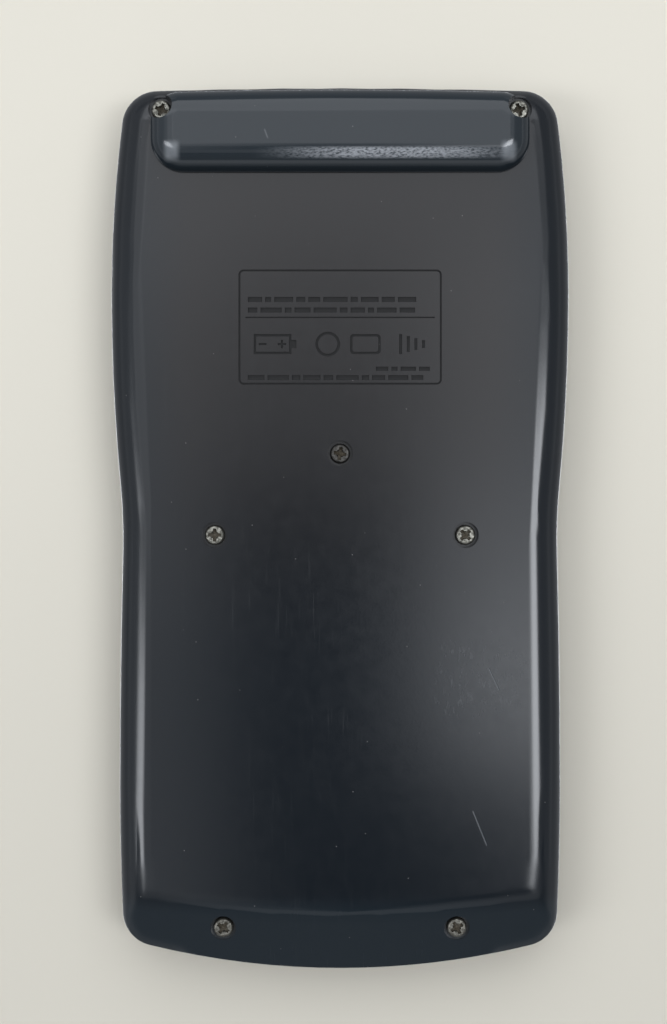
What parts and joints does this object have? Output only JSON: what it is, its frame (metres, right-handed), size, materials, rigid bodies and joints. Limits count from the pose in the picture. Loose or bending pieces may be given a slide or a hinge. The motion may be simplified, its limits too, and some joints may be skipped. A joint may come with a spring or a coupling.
{
  "type": "scientific calculator",
  "caption": "Slim handheld calculator with a waisted two-part housing, a transverse battery hump on its back, a wide display window and separately sprung keys.",
  "frame": {"origin": "centre of the bounding box in plan, at the crest of the battery hump, the lowest point", "axes": "+Z out of the key face, +Y from the bottom end towards the display, +X to the right of the keys"},
  "size_m": [0.079, 0.152, 0.0195],
  "materials": {
    "rear_plastic": "fine texture worn to a soft sheen",
    "front_plastic": "fine moulded texture",
    "window_acrylic": "clear with a dark printed border",
    "display_glass": "grey-green reflective display",
    "ribbon_film": "printed film",
    "board_laminate": "solder-masked laminate",
    "component_epoxy": "moulded epoxy",
    "key_rubber": "translucent grey silicone",
    "cell_jacket": "printed steel jacket",
    "contact_steel": "nickel plated",
    "wire_insulation": "insulated lead",
    "screw_steel": "dull plated",
    "number_key_plastic": "satin light grey",
    "function_key_plastic": "satin dark grey",
    "clear_key_plastic": "satin orange-red",
    "cursor_key_plastic": "satin mid grey"
  },
  "bodies": {
    "housing": {"rear_case": "rear_plastic", "front_case": "front_plastic", "display_window": "window_acrylic", "display_glass": "display_glass", "display_ribbon": "ribbon_film", "circuit_board": "board_laminate", "board_components": "component_epoxy", "rubber_key_sheet": "key_rubber", "battery_cell": "cell_jacket", "negative_spring": "contact_steel", "positive_contact": "contact_steel", "battery_wires": "wire_insulation", "case_screws": "screw_steel", "board_screws": "screw_steel"},
    "key_7": {"key_7": "number_key_plastic"},
    "key_8": {"key_8": "number_key_plastic"},
    "key_9": {"key_9": "number_key_plastic"},
    "key_delete": {"key_delete": "clear_key_plastic"},
    "key_all_clear": {"key_all_clear": "clear_key_plastic"},
    "key_4": {"key_4": "number_key_plastic"},
    "key_5": {"key_5": "number_key_plastic"},
    "key_6": {"key_6": "number_key_plastic"},
    "key_times": {"key_times": "number_key_plastic"},
    "key_divide": {"key_divide": "number_key_plastic"},
    "key_1": {"key_1": "number_key_plastic"},
    "key_2": {"key_2": "number_key_plastic"},
    "key_3": {"key_3": "number_key_plastic"},
    "key_plus": {"key_plus": "number_key_plastic"},
    "key_minus": {"key_minus": "number_key_plastic"},
    "key_0": {"key_0": "number_key_plastic"},
    "key_point": {"key_point": "number_key_plastic"},
    "key_exponent": {"key_exponent": "number_key_plastic"},
    "key_answer": {"key_answer": "number_key_plastic"},
    "key_equals": {"key_equals": "number_key_plastic"},
    "key_reciprocal": {"key_reciprocal": "function_key_plastic"},
    "key_root": {"key_root": "function_key_plastic"},
    "key_square": {"key_square": "function_key_plastic"},
    "key_power": {"key_power": "function_key_plastic"},
    "key_log": {"key_log": "function_key_plastic"},
    "key_ln": {"key_ln": "function_key_plastic"},
    "key_negate": {"key_negate": "function_key_plastic"},
    "key_pi": {"key_pi": "function_key_plastic"},
    "key_hyperbolic": {"key_hyperbolic": "function_key_plastic"},
    "key_sine": {"key_sine": "function_key_plastic"},
    "key_cosine": {"key_cosine": "function_key_plastic"},
    "key_tangent": {"key_tangent": "function_key_plastic"},
    "key_recall": {"key_recall": "function_key_plastic"},
    "key_store": {"key_store": "function_key_plastic"},
    "key_bracket_open": {"key_bracket_open": "function_key_plastic"},
    "key_bracket_close": {"key_bracket_close": "function_key_plastic"},
    "key_percent": {"key_percent": "function_key_plastic"},
    "key_memory": {"key_memory": "function_key_plastic"},
    "key_shift": {"key_shift": "function_key_plastic"},
    "key_alpha": {"key_alpha": "function_key_plastic"},
    "key_mode": {"key_mode": "function_key_plastic"},
    "key_on": {"key_on": "function_key_plastic"},
    "key_cursor_right": {"key_cursor_right": "cursor_key_plastic"},
    "key_cursor_up": {"key_cursor_up": "cursor_key_plastic"},
    "key_cursor_left": {"key_cursor_left": "cursor_key_plastic"},
    "key_cursor_down": {"key_cursor_down": "cursor_key_plastic"}
  },
  "joints": [
    {"name": "digit_7_press", "type": "slide", "parent": "housing", "child": "key_7", "axis": [0, 0, -1], "range_m": [0, 0.0012], "stiffness_N_per_m": 450, "springref_m": -0.0004, "deforming": ["rubber_key_sheet"]},
    {"name": "digit_8_press", "type": "slide", "parent": "housing", "child": "key_8", "axis": [0, 0, -1], "range_m": [0, 0.0012], "stiffness_N_per_m": 450, "springref_m": -0.0004, "deforming": ["rubber_key_sheet"]},
    {"name": "digit_9_press", "type": "slide", "parent": "housing", "child": "key_9", "axis": [0, 0, -1], "range_m": [0, 0.0012], "stiffness_N_per_m": 450, "springref_m": -0.0004, "deforming": ["rubber_key_sheet"]},
    {"name": "delete_press", "type": "slide", "parent": "housing", "child": "key_delete", "axis": [0, 0, -1], "range_m": [0, 0.0012], "stiffness_N_per_m": 450, "springref_m": -0.0004, "deforming": ["rubber_key_sheet"]},
    {"name": "all_clear_press", "type": "slide", "parent": "housing", "child": "key_all_clear", "axis": [0, 0, -1], "range_m": [0, 0.0012], "stiffness_N_per_m": 450, "springref_m": -0.0004, "deforming": ["rubber_key_sheet"]},
    {"name": "digit_4_press", "type": "slide", "parent": "housing", "child": "key_4", "axis": [0, 0, -1], "range_m": [0, 0.0012], "stiffness_N_per_m": 450, "springref_m": -0.0004, "deforming": ["rubber_key_sheet"]},
    {"name": "digit_5_press", "type": "slide", "parent": "housing", "child": "key_5", "axis": [0, 0, -1], "range_m": [0, 0.0012], "stiffness_N_per_m": 450, "springref_m": -0.0004, "deforming": ["rubber_key_sheet"]},
    {"name": "digit_6_press", "type": "slide", "parent": "housing", "child": "key_6", "axis": [0, 0, -1], "range_m": [0, 0.0012], "stiffness_N_per_m": 450, "springref_m": -0.0004, "deforming": ["rubber_key_sheet"]},
    {"name": "times_press", "type": "slide", "parent": "housing", "child": "key_times", "axis": [0, 0, -1], "range_m": [0, 0.0012], "stiffness_N_per_m": 450, "springref_m": -0.0004, "deforming": ["rubber_key_sheet"]},
    {"name": "divide_press", "type": "slide", "parent": "housing", "child": "key_divide", "axis": [0, 0, -1], "range_m": [0, 0.0012], "stiffness_N_per_m": 450, "springref_m": -0.0004, "deforming": ["rubber_key_sheet"]},
    {"name": "digit_1_press", "type": "slide", "parent": "housing", "child": "key_1", "axis": [0, 0, -1], "range_m": [0, 0.0012], "stiffness_N_per_m": 450, "springref_m": -0.0004, "deforming": ["rubber_key_sheet"]},
    {"name": "digit_2_press", "type": "slide", "parent": "housing", "child": "key_2", "axis": [0, 0, -1], "range_m": [0, 0.0012], "stiffness_N_per_m": 450, "springref_m": -0.0004, "deforming": ["rubber_key_sheet"]},
    {"name": "digit_3_press", "type": "slide", "parent": "housing", "child": "key_3", "axis": [0, 0, -1], "range_m": [0, 0.0012], "stiffness_N_per_m": 450, "springref_m": -0.0004, "deforming": ["rubber_key_sheet"]},
    {"name": "plus_press", "type": "slide", "parent": "housing", "child": "key_plus", "axis": [0, 0, -1], "range_m": [0, 0.0012], "stiffness_N_per_m": 450, "springref_m": -0.0004, "deforming": ["rubber_key_sheet"]},
    {"name": "minus_press", "type": "slide", "parent": "housing", "child": "key_minus", "axis": [0, 0, -1], "range_m": [0, 0.0012], "stiffness_N_per_m": 450, "springref_m": -0.0004, "deforming": ["rubber_key_sheet"]},
    {"name": "digit_0_press", "type": "slide", "parent": "housing", "child": "key_0", "axis": [0, 0, -1], "range_m": [0, 0.0012], "stiffness_N_per_m": 450, "springref_m": -0.0004, "deforming": ["rubber_key_sheet"]},
    {"name": "point_press", "type": "slide", "parent": "housing", "child": "key_point", "axis": [0, 0, -1], "range_m": [0, 0.0012], "stiffness_N_per_m": 450, "springref_m": -0.0004, "deforming": ["rubber_key_sheet"]},
    {"name": "exponent_press", "type": "slide", "parent": "housing", "child": "key_exponent", "axis": [0, 0, -1], "range_m": [0, 0.0012], "stiffness_N_per_m": 450, "springref_m": -0.0004, "deforming": ["rubber_key_sheet"]},
    {"name": "answer_press", "type": "slide", "parent": "housing", "child": "key_answer", "axis": [0, 0, -1], "range_m": [0, 0.0012], "stiffness_N_per_m": 450, "springref_m": -0.0004, "deforming": ["rubber_key_sheet"]},
    {"name": "equals_press", "type": "slide", "parent": "housing", "child": "key_equals", "axis": [0, 0, -1], "range_m": [0, 0.0012], "stiffness_N_per_m": 450, "springref_m": -0.0004, "deforming": ["rubber_key_sheet"]},
    {"name": "reciprocal_press", "type": "slide", "parent": "housing", "child": "key_reciprocal", "axis": [0, 0, -1], "range_m": [0, 0.0012], "stiffness_N_per_m": 450, "springref_m": -0.0004, "deforming": ["rubber_key_sheet"]},
    {"name": "root_press", "type": "slide", "parent": "housing", "child": "key_root", "axis": [0, 0, -1], "range_m": [0, 0.0012], "stiffness_N_per_m": 450, "springref_m": -0.0004, "deforming": ["rubber_key_sheet"]},
    {"name": "square_press", "type": "slide", "parent": "housing", "child": "key_square", "axis": [0, 0, -1], "range_m": [0, 0.0012], "stiffness_N_per_m": 450, "springref_m": -0.0004, "deforming": ["rubber_key_sheet"]},
    {"name": "power_press", "type": "slide", "parent": "housing", "child": "key_power", "axis": [0, 0, -1], "range_m": [0, 0.0012], "stiffness_N_per_m": 450, "springref_m": -0.0004, "deforming": ["rubber_key_sheet"]},
    {"name": "log_press", "type": "slide", "parent": "housing", "child": "key_log", "axis": [0, 0, -1], "range_m": [0, 0.0012], "stiffness_N_per_m": 450, "springref_m": -0.0004, "deforming": ["rubber_key_sheet"]},
    {"name": "ln_press", "type": "slide", "parent": "housing", "child": "key_ln", "axis": [0, 0, -1], "range_m": [0, 0.0012], "stiffness_N_per_m": 450, "springref_m": -0.0004, "deforming": ["rubber_key_sheet"]},
    {"name": "negate_press", "type": "slide", "parent": "housing", "child": "key_negate", "axis": [0, 0, -1], "range_m": [0, 0.0012], "stiffness_N_per_m": 450, "springref_m": -0.0004, "deforming": ["rubber_key_sheet"]},
    {"name": "pi_press", "type": "slide", "parent": "housing", "child": "key_pi", "axis": [0, 0, -1], "range_m": [0, 0.0012], "stiffness_N_per_m": 450, "springref_m": -0.0004, "deforming": ["rubber_key_sheet"]},
    {"name": "hyperbolic_press", "type": "slide", "parent": "housing", "child": "key_hyperbolic", "axis": [0, 0, -1], "range_m": [0, 0.0012], "stiffness_N_per_m": 450, "springref_m": -0.0004, "deforming": ["rubber_key_sheet"]},
    {"name": "sine_press", "type": "slide", "parent": "housing", "child": "key_sine", "axis": [0, 0, -1], "range_m": [0, 0.0012], "stiffness_N_per_m": 450, "springref_m": -0.0004, "deforming": ["rubber_key_sheet"]},
    {"name": "cosine_press", "type": "slide", "parent": "housing", "child": "key_cosine", "axis": [0, 0, -1], "range_m": [0, 0.0012], "stiffness_N_per_m": 450, "springref_m": -0.0004, "deforming": ["rubber_key_sheet"]},
    {"name": "tangent_press", "type": "slide", "parent": "housing", "child": "key_tangent", "axis": [0, 0, -1], "range_m": [0, 0.0012], "stiffness_N_per_m": 450, "springref_m": -0.0004, "deforming": ["rubber_key_sheet"]},
    {"name": "recall_press", "type": "slide", "parent": "housing", "child": "key_recall", "axis": [0, 0, -1], "range_m": [0, 0.0012], "stiffness_N_per_m": 450, "springref_m": -0.0004, "deforming": ["rubber_key_sheet"]},
    {"name": "store_press", "type": "slide", "parent": "housing", "child": "key_store", "axis": [0, 0, -1], "range_m": [0, 0.0012], "stiffness_N_per_m": 450, "springref_m": -0.0004, "deforming": ["rubber_key_sheet"]},
    {"name": "bracket_open_press", "type": "slide", "parent": "housing", "child": "key_bracket_open", "axis": [0, 0, -1], "range_m": [0, 0.0012], "stiffness_N_per_m": 450, "springref_m": -0.0004, "deforming": ["rubber_key_sheet"]},
    {"name": "bracket_close_press", "type": "slide", "parent": "housing", "child": "key_bracket_close", "axis": [0, 0, -1], "range_m": [0, 0.0012], "stiffness_N_per_m": 450, "springref_m": -0.0004, "deforming": ["rubber_key_sheet"]},
    {"name": "percent_press", "type": "slide", "parent": "housing", "child": "key_percent", "axis": [0, 0, -1], "range_m": [0, 0.0012], "stiffness_N_per_m": 450, "springref_m": -0.0004, "deforming": ["rubber_key_sheet"]},
    {"name": "memory_press", "type": "slide", "parent": "housing", "child": "key_memory", "axis": [0, 0, -1], "range_m": [0, 0.0012], "stiffness_N_per_m": 450, "springref_m": -0.0004, "deforming": ["rubber_key_sheet"]},
    {"name": "shift_press", "type": "slide", "parent": "housing", "child": "key_shift", "axis": [0, 0, -1], "range_m": [0, 0.0012], "stiffness_N_per_m": 450, "springref_m": -0.0004, "deforming": ["rubber_key_sheet"]},
    {"name": "alpha_press", "type": "slide", "parent": "housing", "child": "key_alpha", "axis": [0, 0, -1], "range_m": [0, 0.0012], "stiffness_N_per_m": 450, "springref_m": -0.0004, "deforming": ["rubber_key_sheet"]},
    {"name": "mode_press", "type": "slide", "parent": "housing", "child": "key_mode", "axis": [0, 0, -1], "range_m": [0, 0.0012], "stiffness_N_per_m": 450, "springref_m": -0.0004, "deforming": ["rubber_key_sheet"]},
    {"name": "on_press", "type": "slide", "parent": "housing", "child": "key_on", "axis": [0, 0, -1], "range_m": [0, 0.0012], "stiffness_N_per_m": 450, "springref_m": -0.0004, "deforming": ["rubber_key_sheet"]},
    {"name": "cursor_right_press", "type": "slide", "parent": "housing", "child": "key_cursor_right", "axis": [0, 0, -1], "range_m": [0, 0.0012], "stiffness_N_per_m": 450, "springref_m": -0.0004, "deforming": ["rubber_key_sheet"]},
    {"name": "cursor_up_press", "type": "slide", "parent": "housing", "child": "key_cursor_up", "axis": [0, 0, -1], "range_m": [0, 0.0012], "stiffness_N_per_m": 450, "springref_m": -0.0004, "deforming": ["rubber_key_sheet"]},
    {"name": "cursor_left_press", "type": "slide", "parent": "housing", "child": "key_cursor_left", "axis": [0, 0, -1], "range_m": [0, 0.0012], "stiffness_N_per_m": 450, "springref_m": -0.0004, "deforming": ["rubber_key_sheet"]},
    {"name": "cursor_down_press", "type": "slide", "parent": "housing", "child": "key_cursor_down", "axis": [0, 0, -1], "range_m": [0, 0.0012], "stiffness_N_per_m": 450, "springref_m": -0.0004, "deforming": ["rubber_key_sheet"]}
  ]
}
